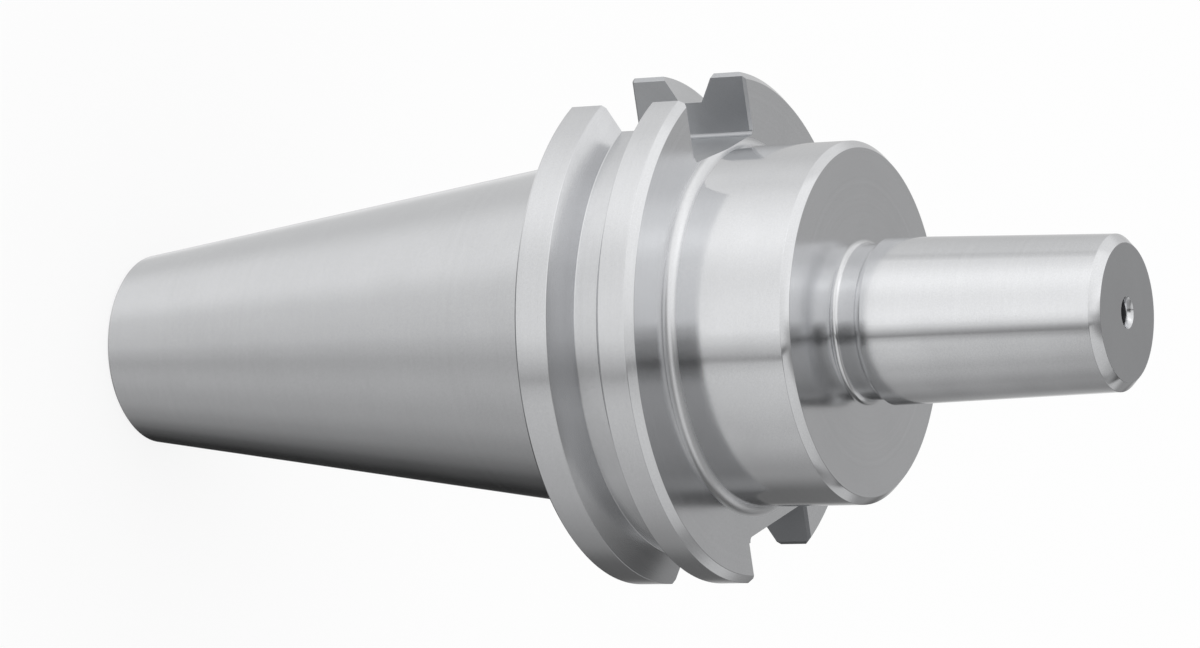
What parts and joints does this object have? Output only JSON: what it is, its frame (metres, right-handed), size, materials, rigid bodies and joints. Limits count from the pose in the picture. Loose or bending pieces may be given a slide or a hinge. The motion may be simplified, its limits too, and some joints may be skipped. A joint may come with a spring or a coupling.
{
  "type": "drill chuck arbor",
  "caption": "One-piece steel arbor: steep taper shank with a V-grooved drive flange and a boss, ending in a short taper nose that a drill chuck is pressed onto.",
  "frame": {"origin": "on the axis at the gauge line, where the steep taper is 44.45 mm across", "axes": "+Z along the axis from the steep taper towards the chuck nose; the two drive slots lie along +X and -X, the deep one on +X"},
  "size_m": [0.0612, 0.0634, 0.1377],
  "materials": {
    "ground_steel": "satin"
  },
  "bodies": {
    "root": {"arbor": "ground_steel"}
  },
  "joints": []
}
